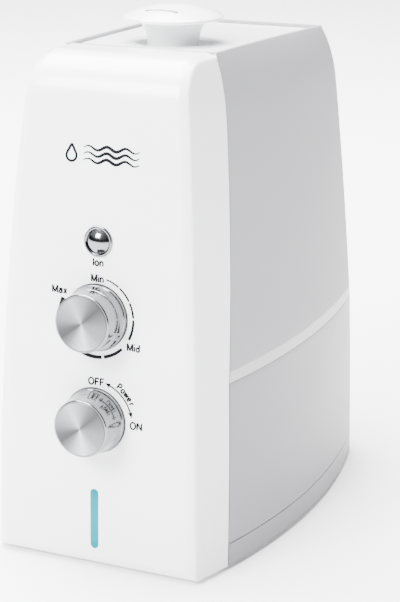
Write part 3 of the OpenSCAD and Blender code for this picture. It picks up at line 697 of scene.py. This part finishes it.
def tank_lid():
    """The inset top of the tank, with the round well that the nozzle stands in."""
    edge = resample(lid_outline(), 256)
    centre = (0, NOZZLE_Y)
    rows = []
    angles = [math.atan2(y - centre[1], x - centre[0]) for x, y in edge]

    def ring(r, u):
        return [(centre[0] + r * math.cos(a), centre[1] + r * math.sin(a), u) for a in angles]

    def surface(y):
        return top_u(y) - LID_RECESS

    rows.append(ring(DUCT_R, WELL_U - WALL))
    rows.append(ring(DUCT_R, WELL_U - 0.3))
    rows.append(ring(DUCT_R + 0.3, WELL_U))
    for r in (16, 19, 22):
        rows.append(ring(r, WELL_U))
    rows += [ring(r, u) for r, u in arc(WELL_R - 1.5, WELL_U + 1.5, 1.5, -90, 0, 5)]
    rows += [ring(WELL_R, WELL_U + 1.5 + (LID_TOP - WELL_U - 3.2) * k / 6) for k in range(1, 7)]
    for r, h in arc(WELL_R + 1.4, -1.4, 1.4, 180, 90, 6):
        rows.append([(x, y, surface(y) + h) for x, y, _ in ring(r, 0)])
    well_edge = ring(WELL_R + 1.4, 0)
    for k in range(1, 21):
        f = k / 20
        row = []
        for (x, y, _), (ex, ey) in zip(well_edge, edge):
            px, py = lerp(x, ex, f), lerp(y, ey, f)
            row.append((px, py, surface(py)))
        rows.append(row)
    rows.append([(x, y, surface(y) - WALL) for x, y in edge])
    rows.append([(x, y, surface(y) - WALL) for x, y, _ in ring(WELL_R + WALL, 0)])
    rows += [ring(WELL_R + WALL, WELL_U - WALL), ring(DUCT_R, WELL_U - WALL), rows[0]]
    verts, faces = grid([[place(*p) / MM for p in row] for row in rows], closed=True)
    lid = make("lid_plate", verts, faces, Matrix.Scale(MM, 4))
    finish_piece(smooth(lid, 50), "tank", "white_gloss", MATERIALS["white_gloss"], "tank_lid")


# ---- Nozzle -------------------------------------------------------------------------------


def nozzle():
    """The domed top with its mist slot, and the flared stem under it."""
    axis = upright(NOZZLE_Y)
    cap_low, cap_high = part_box("nozzle_cap")
    head_r = (cap_high.x - cap_low.x) / 2 / MM
    low = cap_low.z / MM - FOOT_H
    rim = low + 2
    dome = cap_high.z / MM - FOOT_H - rim
    sphere = (head_r**2 + dome**2) / (2 * dome)
    inner = head_r - 3
    profile = [(inner, low), (head_r - 0.6, low)]
    profile += arc(head_r - 0.5, low + 0.5, 0.5, -90, 0, 4)
    groove = head_r - 0.25
    profile += [(head_r, rim - 0.75), (groove, rim - 0.6), (groove, rim - 0.45), (head_r, rim - 0.3)]
    for k in range(1, 33):
        r = (head_r - 0.15) * (1 - k / 32)
        profile.append((r, rim + dome - sphere + math.sqrt(sphere**2 - r**2)))
    for k in range(0, 25):
        r = inner * k / 24
        profile.append((r, rim + dome - 1.6 - sphere + math.sqrt(sphere**2 - r**2)))
    cap = lathe("nozzle_dome", profile, axis, closed=True)
    slot_y = -head_r * 0.56
    slot = [(x, y + slot_y) for y, x in stadium(2.6, 23)]
    cut(cap, prism("slot", slot, low - 5, rim + 20, axis))
    finish_piece(smooth(cap, 30), "nozzle_top", "white_gloss", MATERIALS["white_gloss"], "nozzle_cap")

    # Black plate under the mist slot: painted shadow, a dark sheet that shows through the slot where the cap's
    # inside would lie in shade.
    plate = [(x, y + slot_y) for y, x in stadium(2.5, 22.9)]
    painted_shadow_plate = prism("slot_shadow", plate, rim + 2.6, rim + 4.4, axis)
    finish_piece(painted_shadow_plate, "nozzle_top", "black_plastic", MATERIALS["black_plastic"])

    stem_low, stem_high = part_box("nozzle_stem")
    base = stem_low.z / MM - FOOT_H
    top = stem_high.z / MM - FOOT_H
    stem_r = 16.5
    flare = top - 9
    outer = [(stem_r - 0.6, base), (stem_r, base + 0.6)]
    outer += [(stem_r, lerp(base + 0.6, flare - 8, k / 6)) for k in range(1, 7)]
    outer += [
        (stem_r + 7.2 * (1 - math.cos(math.radians(a))), flare - 8 + 15.4 * math.sin(math.radians(a)))
        for a in range(6, 91, 6)
    ]
    end = outer[-1]
    outer += [(lerp(end[0], head_r - 2.2, k / 4), lerp(end[1], top, k / 4)) for k in range(1, 5)]
    bore = 12.8
    inside = [(stem_r + 3.5, top), (bore + 1.5, flare), (bore, flare - 4), (bore, base)]
    stem = lathe("nozzle_trumpet", outer + inside, axis, closed=True)
    finish_piece(smooth(stem, 35), "nozzle_top", "white_gloss", MATERIALS["white_gloss"], "nozzle_stem")


# ---- Knobs --------------------------------------------------------------------------------


def knob(name, u, turned, body, nodes, face_node):
    """A plated knob and the turned disc in its face, with its mark turned by degrees."""
    frame_at = on_front(u) @ Matrix.Rotation(math.radians(turned), 4, "Z")
    skirt, face, height = 20.5, 18, 20
    profile = [(9, 1.2), (skirt - 1.4, 1.2)]
    profile += arc(skirt - 1.0, 2.2, 1.0, -90, 60, 6)
    profile += [(skirt - 0.7, 3.6), (skirt - 1.0, 4.3), (skirt - 1.3, 5.3)]
    profile += [(skirt - 1.55, 6.4), (skirt - 1.7, 7.4)]
    profile += [(skirt - 1.8, 8.2), (skirt - 2.2, 8.35), (skirt - 2.2, 8.65), (skirt - 1.85, 8.8)]
    profile += [(lerp(skirt - 1.85, face + 0.1, k / 5), lerp(8.8, height - 1.6, k / 5)) for k in range(1, 6)]
    profile += arc(face - 0.9, height - 0.9, 0.9, 0, 90, 6)[1:]
    profile += [(face - 1.15, height - 0.05), (face - 1.3, height - 0.5), (0.01, height - 0.5)]
    profile += [(0.01, 3.6), (8.2, 3.6), (8.2, 1.4)]
    body_piece = lathe(name + "_body", profile, frame_at, closed=True)
    finish_piece(smooth(body_piece, 30), body, "chrome", MATERIALS["chrome"], *nodes)
    disc = lathe(
        name + "_disc",
        [(0.001, -0.4), (face - 1.35, -0.4), (face - 1.35, 0.12), (face - 1.6, 0.3), (0.001, 0.42)],
        None, closed=True,
    )
    mark = [(-0.45, face - 6.2), (0.45, face - 6.2), (0.45, face - 2.6), (-0.45, face - 2.6)]
    cut_mark = prism("mark", mark, 0.12, 2, None)
    for obj in (disc, cut_mark):
        obj.data.transform(Matrix.Scale(MM, 4))
    cut(disc, cut_mark)
    smooth(disc, 30)
    disc.matrix_world = frame_at @ Matrix.Translation((0, 0, height)) @ Matrix.Scale(1 / MM, 4)
    # The face's colour holds wedges of painted reflection, turned with the knob.
    metal_face = spun_metal("spun_" + body, (0.15, 0.153, 0.16), 0.3, turned)
    finish_piece(disc, body, "spun_metal", metal_face, face_node)


def gap_shade_ring(name, u, r):
    """Dark ring of painted shade in the gap between the panel and a part that stands on it."""
    profile = [(r - 0.9, 0.02), (r, 0.02), (r, 0.3), (r - 0.9, 0.3)]
    ring = lathe(name, profile, on_front(u), closed=True)
    finish_piece(smooth(ring, 30), "root", "black_plastic", MATERIALS["black_plastic"])


def ion_button():
    """The domed chrome button."""
    at = on_front(ION_U)
    button_r, depth, rise = 7.4, 3, 3
    sphere = (button_r**2 + rise**2) / (2 * rise)
    dome = [(button_r, -depth), (button_r, 0.7)]
    for k in range(1, 21):
        r = button_r * (1 - k / 20)
        dome.append((r, 0.6 + rise - sphere + math.sqrt(sphere**2 - r**2)))
    dome.append((0.01, -depth))
    button = smooth(lathe("ion_dome", dome, at, closed=True), 30)
    finish_piece(button, "ion", "chrome", MATERIALS["chrome"], "ion_button")


# ---- Printed legends ----------------------------------------------------------------------

INK_LIFT = 0.05
INK_T = 0.06


def printed(name, obj):
    return finish_piece(obj, "root", "black_plastic", INK)


def ribbon(name, u, points, widths):
    """Flat printed line on the panel about height u, through points, of varying width."""
    left, right = [], []
    for k, (x, y) in enumerate(points):
        ax, ay = points[max(k - 1, 0)]
        bx, by = points[min(k + 1, len(points) - 1)]
        n = math.dist((ax, ay), (bx, by))
        nx, ny = -(by - ay) / n, (bx - ax) / n
        w = widths[k] / 2
        left.append((x + nx * w, y + ny * w))
        right.append((x - nx * w, y - ny * w))
    outline = left + right[::-1]
    n = len(points)
    verts = []
    for lift in (INK_LIFT, INK_LIFT + INK_T):
        for x, y in outline:
            m = on_front(u + y)
            verts.append(m @ Vector((x, 0, lift)) / MM)
    faces = []
    for k in range(n - 1):
        a, b, c, d = k, k + 1, 2 * n - 2 - k, 2 * n - 1 - k
        faces += [(a, d, c, b), (a + 2 * n, b + 2 * n, c + 2 * n, d + 2 * n)]
    faces += [(k, (k + 1) % (2 * n), (k + 1) % (2 * n) + 2 * n, k + 2 * n) for k in range(2 * n)]
    return printed(name, make(name, verts, faces, Matrix.Scale(MM, 4)))


def clock(r, a):
    """Point at radius r, a degrees clockwise from the top."""
    return r * math.sin(math.radians(a)), r * math.cos(math.radians(a))


def dial_arc(name, u, r, start, end, wide0, wide1, steps=14):
    """Printed arc about a knob, between two clock angles, of growing width."""
    angles = [lerp(start, end, k / steps) for k in range(steps + 1)]
    widths = [lerp(wide0, wide1, k / steps) for k in range(steps + 1)]
    return ribbon(name, u, [clock(r, a) for a in angles], widths)


def bowl(cx, cy, rx, ry, start=0, end=360, steps=16):
    """Points round part of an ellipse, for a letter's curve."""
    return [(cx + rx * math.cos(math.radians(lerp(start, end, k / steps))),
             cy + ry * math.sin(math.radians(lerp(start, end, k / steps)))) for k in range(steps + 1)]


# Strokes of the legends' letters, on a grid where capitals are 1 high: width, then lines.
STROKES = {
    "I": (0.12, [[(0.06, 0), (0.06, 1)]]),
    "M": (0.82, [[(0.06, 0), (0.06, 1)], [(0.06, 0.97), (0.41, 0.08)], [(0.41, 0.08), (0.76, 0.97)],
                 [(0.76, 1), (0.76, 0)]]),
    "O": (0.84, [bowl(0.42, 0.5, 0.37, 0.46, 0, 360, 28)]),
    "F": (0.58, [[(0.06, 0), (0.06, 1)], [(0.06, 0.95), (0.58, 0.95)], [(0.06, 0.52), (0.5, 0.52)]]),
    "N": (0.74, [[(0.06, 0), (0.06, 1)], [(0.06, 0.96), (0.68, 0.04)], [(0.68, 0), (0.68, 1)]]),
    "P": (0.6, [[(0.06, 0), (0.06, 1)], [(0.06, 0.95), (0.3, 0.95)], bowl(0.3, 0.7, 0.25, 0.25, 90, -90),
                [(0.3, 0.45), (0.06, 0.45)]]),
    "o": (0.56, [bowl(0.28, 0.34, 0.23, 0.3, 0, 360, 24)]),
    "n": (0.52, [[(0.06, 0), (0.06, 0.66)], bowl(0.26, 0.38, 0.2, 0.24, 180, 0), [(0.46, 0.4), (0.46, 0)]]),
    "i": (0.12, [[(0.06, 0), (0.06, 0.66)], [(0.06, 0.84), (0.06, 0.98)]]),
    "a": (0.54, [bowl(0.23, 0.22, 0.18, 0.18, 0, 360, 20), [(0.47, 0), (0.47, 0.42)],
                 bowl(0.27, 0.42, 0.2, 0.2, 0, 160, 10)]),
    "x": (0.48, [[(0.03, 0), (0.45, 0.66)], [(0.03, 0.66), (0.45, 0)]]),
    "d": (0.54, [bowl(0.26, 0.3, 0.2, 0.26, 0, 360, 20), [(0.48, 1), (0.48, 0)]]),
    "w": (0.72, [[(0.03, 0.66), (0.19, 0.03)], [(0.19, 0.03), (0.36, 0.62)], [(0.36, 0.62), (0.53, 0.03)],
                 [(0.53, 0.03), (0.69, 0.66)]]),
    "e": (0.54, [bowl(0.27, 0.33, 0.22, 0.29, 0, 320, 20), [(0.06, 0.34), (0.49, 0.34)]]),
    "r": (0.34, [[(0.06, 0), (0.06, 0.66)], bowl(0.3, 0.36, 0.24, 0.25, 180, 80, 8)]),
}


def word(text, x, y, u, size, turn=0, weight=1.08):
    """Generic legend on the panel, drawn in strokes: centred at x across and y up from height u."""
    gap = 0.15
    total = sum(STROKES[c][0] for c in text) + gap * (len(text) - 1)
    c, s = math.cos(math.radians(turn)), math.sin(math.radians(turn))
    start = -total / 2
    for k, letter in enumerate(text):
        width, lines = STROKES[letter]
        for j, line in enumerate(lines):
            flat = [((start + px) * size, (py - 0.5) * size) for px, py in line]
            points = [(x + px * c - py * s, y + px * s + py * c) for px, py in flat]
            name = f"legend_{text.lower()}_{round(u)}_{k}_{j}_{round(-turn * 10)}"
            ribbon(name, u, points, [weight] * len(points))
        start += width + gap


def legends():
    """The level scale, the power arrow and the generic words."""
    scale = [
        (14, 35, 0.95, 1.05), (37, 60, 1.1, 1.2), (62.5, 84.5, 1.25, 1.4), (87, 117, 1.5, 1.8),
        (135, 167, 1.9, 2.1), (170.5, 203, 2.2, 2.4), (206, 239, 2.5, 2.6), (242, 273, 2.7, 2.8),
        (276, 293, 2.8, 2.85),
    ]
    for k, (a, b, w0, w1) in enumerate(scale):
        dial_arc(f"level_scale_{k}", LEVEL_U, 24.7, a, b, w0, w1)
    word("Min", 0, 24.1, LEVEL_U, 4.7)
    word("Mid", 25.2, -15.7, LEVEL_U, 4.7)
    word("Max", -25.5, 14.5, LEVEL_U, 4.7)
    word("OFF", 0.6, 24.8, POWER_U, 4.6)
    word("ON", 28.0, 0.2, POWER_U, 4.6)
    dial_arc("power_arrow", POWER_U, 25.4, 22, 72, 1.0, 1.0, 20)
    for k, (a, b) in enumerate([(23, 15), (71, 79)]):
        dial_arc(f"power_arrow_tip_{k}", POWER_U, 25.4, a, b, 3.0, 0.1, 4)
    for k, letter in enumerate("Power"):
        a = 35 + 6.5 * k
        x, y = clock(28.9, a)
        word(letter, x, y, POWER_U, 4.2, -a, 1.05)
    word("Ion", 0.2, -12.6, ION_U, 4.6)
    mark()


def mark():
    """Generic picture of a drop and rising mist."""
    u = 257
    drop = [(0, 7)] + arc(0, 0, 3.4, 20, -200, 11) + [(0, 7)]
    ribbon("drop_mark", u, [(x - 20, y) for x, y in drop], [1.6] * len(drop))
    for row, y0 in enumerate((-2.2, 1.6, 5.4)):
        points = [(-12 + 37 * k / 45, y0 + 1.2 * math.sin(2 * math.pi * k / 15)) for k in range(46)]
        widths = [0.6 + 1.4 * math.sin(math.pi * k / 45) for k in range(46)]
        ribbon(f"mist_mark_{row}", u, points, widths)


# ---- Light lens ---------------------------------------------------------------------------


def light():
    """The light's lens, a low pillow in a slot."""
    width, length = 5.3, 39.7
    outline = stadium(width, length, 20)
    rows = []
    for scale, h in [(1, -1.5), (1, 0.1), (0.93, 0.38), (0.75, 0.52), (0.4, 0.6)]:
        drawn_in = (1 - scale) * width / 2
        rows.append([(x * scale, (abs(y) - drawn_in) * (1 if y > 0 else -1), h) for x, y in outline])
    verts, faces = grid(rows, closed=True)
    n = len(outline)
    faces.append(tuple(range(len(verts) - n, len(verts))))
    faces.append(tuple(range(n))[::-1])
    lens = make("light_bar", verts, faces, on_front(LIGHT_U))
    finish_piece(smooth(lens, 40), "root", "cyan_light", MATERIALS["cyan_light"], "light_lens")


# ---- Studio -------------------------------------------------------------------------------


def studio():
    """A pale floor that glows more the farther it lies from the object (painted light), a soft sky that dims to
    the right, and two light panels.
    """
    floor = make("floor", [(-9, -9, 0), (9, -9, 0), (9, 9, 0), (-9, 9, 0)], [(0, 1, 2, 3)])
    material, _, bsdf = new_material("floor")
    bsdf.inputs["Base Color"].default_value = (0.88, 0.88, 0.885, 1)
    bsdf.inputs["Roughness"].default_value = 0.7
    # Painted light: the floor's glow is faint near the object and grows with distance, keeping the far floor white
    # and the floor round the object darker.
    bsdf.inputs["Emission Color"].default_value = (1, 1, 1, 1)
    tree = material.node_tree
    where = tree.nodes.new("ShaderNodeTexCoord")
    away = tree.nodes.new("ShaderNodeVectorMath")
    away.operation = "LENGTH"
    link(tree, where.outputs["Object"], away.inputs[0])
    lift = tree.nodes.new("ShaderNodeMapRange")
    for key, value in (("From Min", 0.2), ("From Max", 1.1), ("To Min", 0.35), ("To Max", 1.7)):
        lift.inputs[key].default_value = value
    link(tree, away.outputs["Value"], lift.inputs["Value"])
    link(tree, lift.outputs["Result"], bsdf.inputs["Emission Strength"])
    floor.data.materials.append(material)

    world = bpy.data.worlds.new("studio")
    bpy.context.scene.world = world
    world.use_nodes = True
    tree = world.node_tree
    back = tree.nodes["Background"]
    where = tree.nodes.new("ShaderNodeTexCoord")
    split = tree.nodes.new("ShaderNodeSeparateXYZ")
    link(tree, where.outputs["Generated"], split.inputs["Vector"])
    sky = ramp(
        tree, split.outputs["Z"],
        (0.0, (0.02, 0.02, 0.024)), (0.22, (0.05, 0.05, 0.055)), (0.36, (0.7, 0.7, 0.72)), (1.0, (1, 1, 1)),
    )
    side = ramp(
        tree, split.outputs["X"],
        (0.0, (1, 1, 1)), (0.35, (0.55, 0.55, 0.56)), (0.8, (0.2, 0.2, 0.205)),
    )
    shaded = tree.nodes.new("ShaderNodeVectorMath")
    shaded.operation = "MULTIPLY"
    link(tree, sky.outputs["Color"], shaded.inputs[0])
    link(tree, side.outputs["Color"], shaded.inputs[1])
    link(tree, shaded.outputs["Vector"], back.inputs["Color"])
    back.inputs["Strength"].default_value = 1.1

    def panel(name, where, to, size, power):
        data = bpy.data.lights.new(name, "AREA")
        data.shape = "RECTANGLE"
        data.size, data.size_y = size
        data.energy = power
        lamp = bpy.data.objects.new(name, data)
        bpy.context.scene.collection.objects.link(lamp)
        lamp.location = where
        lamp.rotation_mode = "QUATERNION"
        lamp.rotation_quaternion = (Vector(to) - Vector(where)).to_track_quat("-Z", "Y")

    panel("key", (-0.7, -1.9, 1.7), (0, 0, 0.15), (1.2, 1.0), 210)
    panel("top", (-0.5, 0.3, 2.4), (0, 0.1, 0.2), (2.0, 2.0), 520)


def camera():
    """Camera at the viewing angle, with no shift and no depth of field."""
    low, high = CAD_BOX
    centre = (low + high) / 2
    a, e = math.radians(23.3), math.radians(17.8)
    back = Vector((math.sin(a) * math.cos(e), -math.cos(a) * math.cos(e), math.sin(e)))
    right = Vector((math.cos(a), math.sin(a), 0))
    up = back.cross(right)
    data = bpy.data.cameras.new("camera")
    data.lens = 99.6
    data.sensor_width = 36
    data.clip_start = 0.05
    cam = bpy.data.objects.new("camera", data)
    bpy.context.scene.collection.objects.link(cam)
    cam.location = centre + right * 0.0169 - up * 0.0281 + back * 1.1088
    cam.rotation_mode = "QUATERNION"
    cam.rotation_quaternion = (-back).to_track_quat("-Z", "Y")
    bpy.context.scene.camera = cam


camera()
studio()
front_cover()
side_shells()
tank_lid()
nozzle()
knob("level_knob", LEVEL_U, -150, "level", ["level_knob"], "level_face")
knob("power_knob", POWER_U, -97, "power", ["power_knob"], "power_face")
ion_button()
# Painted shade: dark rings in the gaps under the two knobs.
gap_shade_ring("level_gap", LEVEL_U, 21.0)
gap_shade_ring("power_gap", POWER_U, 21.0)
light()
legends()
